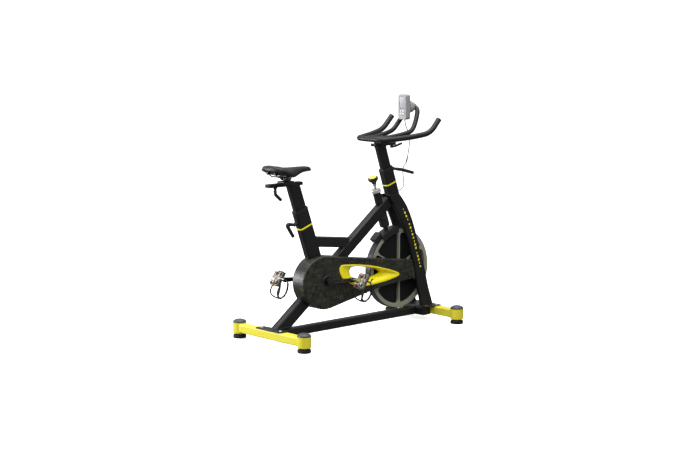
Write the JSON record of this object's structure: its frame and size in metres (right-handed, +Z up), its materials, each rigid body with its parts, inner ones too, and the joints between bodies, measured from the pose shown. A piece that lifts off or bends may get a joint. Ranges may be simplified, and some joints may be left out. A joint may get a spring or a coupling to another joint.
{
  "type": "exercise bike",
  "caption": "Indoor cycling bike with a weighted flywheel, belt drive under a cover, adjustable saddle and handlebar, magnetic resistance knob and a small console.",
  "frame": {"origin": "on the floor under the middle of the footprint", "axes": "+X the way the rider faces, +Y to the rider's left, +Z up"},
  "size_m": [1.25, 0.62, 1.32],
  "materials": {
    "trim_plastic": "glossy moulded trim",
    "yellow_paint": "glossy powder coat",
    "black_paint": "satin black powder coat",
    "cover_plastic": "satin moulded cover",
    "cap_plastic": "dark grey moulded",
    "foot_rubber": "matte",
    "black_plastic": "satin",
    "black_alloy": "gloss black",
    "cage_plastic": "semi-gloss",
    "pedal_metal": "satin",
    "steel": "bright",
    "pulley_plastic": "matte",
    "belt_rubber": "matte",
    "flywheel_metal": "painted casting with machined ring and spokes",
    "grip_rubber": "dipped, soft",
    "saddle_cover": "synthetic leather, fine grain",
    "console_plastic": "light grey moulded",
    "key_rubber": "matte",
    "lead_rubber": "matte"
  },
  "bodies": {
    "frame": {"base_rail": "black_paint", "front_mount_bracket": "black_paint", "bottom_bracket_shell": "steel", "seat_tube": "black_paint", "rear_leg": "black_paint", "head_tube": "black_paint", "fork_leg_right": "black_paint", "fork_leg_left": "black_paint", "diagonal_tube": "black_paint", "top_tube": "black_paint", "belt_cover_right": "cover_plastic", "belt_cover_left": "cover_plastic", "cover_window_trim": "trim_plastic", "drive_belt": "belt_rubber", "flywheel_spindle": "steel", "frame_lead": "lead_rubber", "rear_stabilizer": "yellow_paint", "rear_cap_right": "cap_plastic", "rear_cap_left": "cap_plastic", "front_stabilizer": "yellow_paint", "front_cap_right": "cap_plastic", "front_cap_left": "cap_plastic", "resistance_guide": "black_plastic", "magnet_housing": "black_paint"},
    "flywheel": {"flywheel": "flywheel_metal", "flywheel_pulley": "steel"},
    "crank": {"crank_spindle": "steel", "crank_pulley": "pulley_plastic", "crank_arm_right": "black_alloy", "crank_arm_left": "black_alloy"},
    "pedal_right": {"pedal_right": "pedal_metal", "toe_cage_right": "cage_plastic"},
    "pedal_left": {"pedal_left": "pedal_metal", "toe_cage_left": "cage_plastic"},
    "seat_post": {"seat_post": "black_paint", "seat_rail": "black_paint"},
    "seat_carriage": {"seat_carriage": "black_paint", "saddle_rails": "steel", "saddle": "saddle_cover"},
    "seat_post_lever": {"seat_post_lever": "black_plastic"},
    "seat_slide_lever": {"seat_slide_lever": "black_plastic"},
    "bar_post": {"bar_post": "black_paint"},
    "bar_carriage": {"bar_carriage": "black_paint", "handlebar": "grip_rubber", "console": "console_plastic", "console_mount": "console_plastic", "console_lead": "lead_rubber"},
    "bar_post_lever": {"bar_post_lever": "black_plastic"},
    "bar_slide_lever": {"bar_slide_lever": "black_plastic"},
    "brake_rod": {"brake_rod": "steel"},
    "resistance_knob": {"resistance_knob": "black_plastic"},
    "magnet_caliper": {"magnet_caliper": "black_plastic"},
    "console_key_1": {"console_key_1": "key_rubber"},
    "console_key_2": {"console_key_2": "key_rubber"},
    "console_key_3": {"console_key_3": "key_rubber"},
    "console_key_4": {"console_key_4": "key_rubber"},
    "rear_foot_right": {"rear_foot_right": "foot_rubber"},
    "rear_foot_left": {"rear_foot_left": "foot_rubber"},
    "front_foot_right": {"front_foot_right": "foot_rubber"},
    "front_foot_left": {"front_foot_left": "foot_rubber"}
  },
  "joints": [
    {"name": "flywheel_spin", "type": "hinge", "parent": "frame", "child": "flywheel", "pos_m": [0.365, 0, 0.32], "axis": [0, 1, 0], "continuous": true},
    {"name": "crank_spin", "type": "hinge", "parent": "frame", "child": "crank", "pos_m": [-0.236, 0, 0.318], "axis": [0, 1, 0], "continuous": true},
    {"name": "pedal_spin_right", "type": "hinge", "parent": "crank", "child": "pedal_right", "pos_m": [-0.05634, -0.15, 0.30701], "axis": [0, 1, 0], "continuous": true},
    {"name": "pedal_spin_left", "type": "hinge", "parent": "crank", "child": "pedal_left", "pos_m": [-0.41566, 0.15, 0.32899], "axis": [0, 1, 0], "continuous": true},
    {"name": "seat_height", "type": "slide", "parent": "frame", "child": "seat_post", "axis": [-0.3354, 0, 0.9421], "range_m": [-0.1, 0.12]},
    {"name": "seat_fore_aft", "type": "slide", "parent": "seat_post", "child": "seat_carriage", "axis": [1, 0, 0], "range_m": [-0.06, 0.06]},
    {"name": "seat_post_lever_turn", "type": "hinge", "parent": "frame", "child": "seat_post_lever", "pos_m": [-0.40037, 0, 0.64978], "axis": [-0.9421, 0, -0.3354], "range_deg": [-45, 75]},
    {"name": "seat_slide_lever_turn", "type": "hinge", "parent": "seat_post", "child": "seat_slide_lever", "pos_m": [-0.553, 0, 0.861], "axis": [0, 0, 1], "range_deg": [-80, 80]},
    {"name": "bar_height", "type": "slide", "parent": "frame", "child": "bar_post", "axis": [-0.319, 0, 0.9478], "range_m": [-0.09, 0.08], "deforming": ["frame_lead"]},
    {"name": "bar_fore_aft", "type": "slide", "parent": "bar_post", "child": "bar_carriage", "axis": [1, 0, 0], "range_m": [-0.03, 0.05], "deforming": ["console_lead"]},
    {"name": "bar_post_lever_turn", "type": "hinge", "parent": "frame", "child": "bar_post_lever", "pos_m": [0.31826, 0, 0.8938], "axis": [0.9478, 0, 0.319], "range_deg": [-70, 0]},
    {"name": "bar_slide_lever_turn", "type": "hinge", "parent": "bar_post", "child": "bar_slide_lever", "pos_m": [0.318, 0, 1.036], "axis": [0, 0, 1], "range_deg": [-60, 60]},
    {"name": "brake_push", "type": "slide", "parent": "frame", "child": "brake_rod", "axis": [0.319, 0, -0.9478], "range_m": [0, 0.008], "stiffness_N_per_m": 2000, "springref_m": -0.01},
    {"name": "resistance_turn", "type": "hinge", "parent": "brake_rod", "child": "resistance_knob", "pos_m": [0.17648, 0, 0.84582], "axis": [-0.319, 0, 0.9478], "range_deg": [0, 330]},
    {"name": "magnet_swing", "type": "hinge", "parent": "frame", "child": "magnet_caliper", "pos_m": [0.26388, 0, 0.58613], "axis": [0, 1, 0], "range_deg": [-2.6, 0]},
    {"name": "key_1_press", "type": "slide", "parent": "bar_carriage", "child": "console_key_1", "axis": [1, 0, 0], "range_m": [0, 0.001], "stiffness_N_per_m": 150},
    {"name": "key_2_press", "type": "slide", "parent": "bar_carriage", "child": "console_key_2", "axis": [1, 0, 0], "range_m": [0, 0.001], "stiffness_N_per_m": 150},
    {"name": "key_3_press", "type": "slide", "parent": "bar_carriage", "child": "console_key_3", "axis": [1, 0, 0], "range_m": [0, 0.001], "stiffness_N_per_m": 150},
    {"name": "key_4_press", "type": "slide", "parent": "bar_carriage", "child": "console_key_4", "axis": [1, 0, 0], "range_m": [0, 0.001], "stiffness_N_per_m": 150},
    {"name": "rear_foot_right_screw", "type": "hinge", "parent": "frame", "child": "rear_foot_right", "pos_m": [-0.587, -0.272, 0.03], "axis": [0, 0, 1], "continuous": true},
    {"name": "rear_foot_left_screw", "type": "hinge", "parent": "frame", "child": "rear_foot_left", "pos_m": [-0.587, 0.272, 0.03], "axis": [0, 0, 1], "continuous": true},
    {"name": "front_foot_right_screw", "type": "hinge", "parent": "frame", "child": "front_foot_right", "pos_m": [0.587, -0.272, 0.03], "axis": [0, 0, 1], "continuous": true},
    {"name": "front_foot_left_screw", "type": "hinge", "parent": "frame", "child": "front_foot_left", "pos_m": [0.587, 0.272, 0.03], "axis": [0, 0, 1], "continuous": true}
  ],
  "couplings": [
    {"joint": "crank_spin", "follows": "flywheel_spin", "ratio": 0.28},
    {"joint": "magnet_swing", "follows": "resistance_turn", "ratio": -0.007879}
  ]
}
